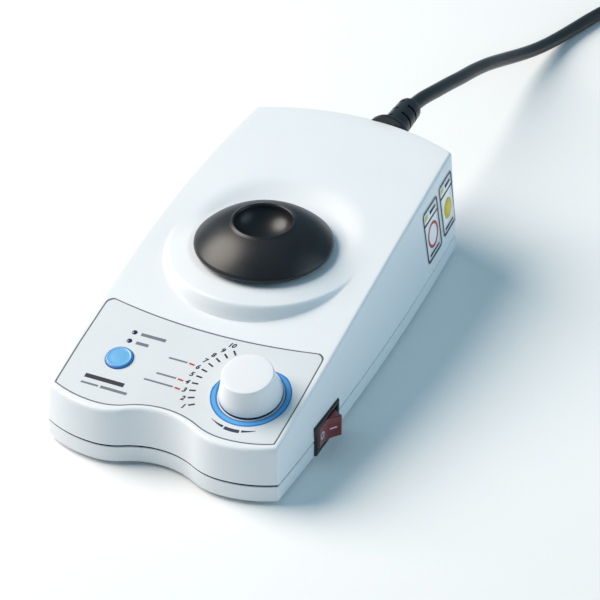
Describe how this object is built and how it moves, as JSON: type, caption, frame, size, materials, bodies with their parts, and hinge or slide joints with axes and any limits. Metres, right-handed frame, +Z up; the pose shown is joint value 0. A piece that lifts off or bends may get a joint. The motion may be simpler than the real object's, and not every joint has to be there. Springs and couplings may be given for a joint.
{
  "type": "vortex mixer",
  "caption": "Small bench vortex mixer: sloped white casing with speed knob, start button and rocker switch, and an orbiting black rubber cup head.",
  "frame": {"origin": "on the table, under the drive axis, which is the middle of the casing seen from above. The rocker stands out on one side only, so the middle of the whole box is about 2 mm further to +X and frame_claims makes no origin claim", "axes": "+X towards the rocker switch side, +Y towards the rear where the cord leaves, +Z up"},
  "size_m": [0.2134, 0.4534, 0.06],
  "materials": {
    "casing_white": "satin off-white moulded ABS",
    "panel_grey": "matt light-grey printed film",
    "knob_white": "satin white",
    "button_blue": "pale blue, satin",
    "lamp_navy": "dark tinted lens",
    "black_rubber": "satin black",
    "cup_rubber": "satin black moulded rubber",
    "black_plastic": "moulded black",
    "rocker_red": "dark red translucent",
    "steel": "machined",
    "aluminium": "turned",
    "brass": "stamped",
    "copper_coil": "enamelled winding",
    "board_green": "circuit board",
    "ballast": "as cast",
    "cord_black": "satin PVC sheath",
    "label_film": "printed film"
  },
  "bodies": {
    "casing": {"upper_housing": "casing_white", "lower_housing": "casing_white", "panel_overlay": "panel_grey", "potentiometer": "black_plastic", "potentiometer_nut": "steel", "button_switch": "black_plastic", "led_on": "lamp_navy", "led_touch": "lamp_navy", "control_board": "board_green", "board_screws": "steel", "switch_bezel": "black_plastic", "switch_terminals": "brass", "dust_seal": "black_rubber", "guide_posts": "steel", "post_clips": "steel", "press_springs": "steel", "touch_switch": "black_plastic", "ballast_plate": "ballast", "power_board": "board_green", "transformer": "copper_coil", "terminal_block": "black_plastic", "rubber_feet": "black_rubber", "housing_screws": "steel", "strain_relief": "black_rubber", "power_cord": "cord_black", "cord_coil": "cord_black", "cord_lead": "cord_black", "cable_tie": "black_plastic", "plug_body": "cord_black", "plug_pins": "brass", "side_label_front": "label_film", "side_label_rear": "label_film", "rating_label": "label_film"},
    "knob": {"speed_knob": "knob_white", "potentiometer_shaft": "steel"},
    "button": {"start_button": "button_blue"},
    "rocker": {"switch_rocker": "rocker_red"},
    "carriage": {"motor_plate": "steel", "motor_case": "steel", "motor_stator": "copper_coil", "motor_bearings": "steel", "plate_screws": "steel", "isolation_grommets": "black_rubber"},
    "rotor": {"motor_shaft": "steel", "motor_rotor": "steel", "crank": "steel", "counterweight": "steel"},
    "head": {"cup": "cup_rubber", "cup_hub": "aluminium", "head_bearing": "steel"}
  },
  "joints": [
    {"name": "knob_turn", "type": "hinge", "parent": "casing", "child": "knob", "pos_m": [0.0284, -0.07495, 0.03111], "axis": [0, -0.2149, 0.9766], "range_deg": [-81, 0]},
    {"name": "button_press", "type": "slide", "parent": "casing", "child": "button", "axis": [0, -0.2149, 0.9766], "range_m": [-0.0006, 0], "stiffness_N_per_m": 1500, "springref_m": 0.0003},
    {"name": "rocker_tilt", "type": "hinge", "parent": "casing", "child": "rocker", "pos_m": [0.0472, -0.0557, 0.00925], "axis": [0, 0, 1], "range_deg": [0, 38]},
    {"name": "head_press", "type": "slide", "parent": "casing", "child": "carriage", "axis": [0, 0, 1], "range_m": [-0.0012, 0], "stiffness_N_per_m": 5000, "springref_m": 0.003, "deforming": ["press_springs"]},
    {"name": "motor_spin", "type": "hinge", "parent": "carriage", "child": "rotor", "pos_m": [0, 0, 0.016], "axis": [0, 0, 1], "continuous": true},
    {"name": "head_orbit", "type": "hinge", "parent": "rotor", "child": "head", "pos_m": [0, -0.0025, 0.0388], "axis": [0, 0, 1], "continuous": true}
  ],
  "couplings": [
    {"joint": "head_orbit", "follows": "motor_spin", "ratio": -1}
  ]
}
